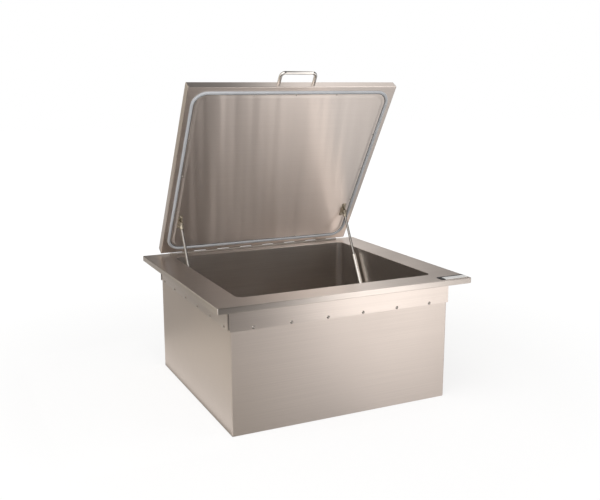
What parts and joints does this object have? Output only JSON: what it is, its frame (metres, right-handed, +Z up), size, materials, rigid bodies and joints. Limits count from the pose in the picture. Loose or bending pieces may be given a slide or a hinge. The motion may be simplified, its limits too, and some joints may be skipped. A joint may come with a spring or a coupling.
{
  "type": "outdoor refreshment center",
  "caption": "Drop-in insulated steel ice bin with a wide deck, riveted collar and floor drain, under a hinged lid with a bar handle, a gasket and gas struts.",
  "frame": {"origin": "Middle of the deck's plan, at the height of the casing's underside.", "axes": "+Z is up, -Y is the front where the handle is, +X is the right as seen from the front."},
  "size_m": [0.762, 0.69, 0.9342],
  "materials": {
    "brushed_sheet": "satin",
    "bright_steel": "satin",
    "polished_steel": "polished",
    "grey_seal": "matte",
    "dark_seal": "matte",
    "black_plastic": "matte",
    "foam": "matte"
  },
  "bodies": {
    "base": {"outer_casing": "brushed_sheet", "collar_front": "brushed_sheet", "collar_rear": "brushed_sheet", "collar_left": "brushed_sheet", "collar_right": "brushed_sheet", "collar_tape": "dark_seal", "collar_rivets": "bright_steel", "deck": "brushed_sheet", "bin_liner": "brushed_sheet", "wall_insulation": "foam", "floor_insulation": "foam", "drain_body": "polished_steel", "drain_washer": "dark_seal", "drain_locknut": "black_plastic", "drain_strainer": "bright_steel", "hinge_deck_leaf": "bright_steel", "hinge_pin": "bright_steel", "hinge_deck_rivets": "bright_steel", "name_plate": "polished_steel", "left_wall_plate": "bright_steel", "right_wall_plate": "bright_steel", "left_wall_stud": "bright_steel", "right_wall_stud": "bright_steel", "left_wall_screws": "bright_steel", "right_wall_screws": "bright_steel"},
    "lid": {"lid_pan": "brushed_sheet", "lid_panel": "brushed_sheet", "lid_insulation": "foam", "lid_gasket": "grey_seal", "lid_panel_screws": "bright_steel", "handle": "polished_steel", "handle_screws": "bright_steel", "hinge_lid_leaf": "bright_steel", "hinge_lid_rivets": "bright_steel", "left_lid_bracket": "bright_steel", "right_lid_bracket": "bright_steel", "left_bracket_screws": "bright_steel", "right_bracket_screws": "bright_steel", "left_pivot_pin": "bright_steel", "right_pivot_pin": "bright_steel"},
    "left_rod": {"left_rod_end": "bright_steel", "left_piston_rod": "polished_steel", "left_piston": "black_plastic"},
    "left_tube": {"left_gland": "black_plastic", "left_tube": "polished_steel", "left_fork": "bright_steel"},
    "right_rod": {"right_rod_end": "bright_steel", "right_piston_rod": "polished_steel", "right_piston": "black_plastic"},
    "right_tube": {"right_gland": "black_plastic", "right_tube": "polished_steel", "right_fork": "bright_steel"}
  },
  "joints": [
    {"name": "lid_hinge", "type": "hinge", "parent": "base", "child": "lid", "pos_m": [0, 0.3172, 0.3656], "axis": [-1, 0, 0], "range_deg": [-58, 0]},
    {"name": "left_rod_pivot", "type": "hinge", "parent": "lid", "child": "left_rod", "pos_m": [-0.2865, 0.23432, 0.47371], "axis": [-1, 0, 0], "range_deg": [0, 60.9]},
    {"name": "left_tube_slide", "type": "slide", "parent": "left_rod", "child": "left_tube", "axis": [0, 0.4695, 0.8829], "range_m": [0, 0.13142]},
    {"name": "right_rod_pivot", "type": "hinge", "parent": "lid", "child": "right_rod", "pos_m": [0.2865, 0.23432, 0.47371], "axis": [-1, 0, 0], "range_deg": [0, 60.9]},
    {"name": "right_tube_slide", "type": "slide", "parent": "right_rod", "child": "right_tube", "axis": [0, 0.4695, 0.8829], "range_m": [0, 0.13142]}
  ],
  "couplings": [
    {"joint": "left_rod_pivot", "follows": "lid_hinge", "ratio": -1.0501},
    {"joint": "left_tube_slide", "follows": "lid_hinge", "m_per_rad": -0.12982},
    {"joint": "right_rod_pivot", "follows": "lid_hinge", "ratio": -1.0501},
    {"joint": "right_tube_slide", "follows": "lid_hinge", "m_per_rad": -0.12982}
  ]
}
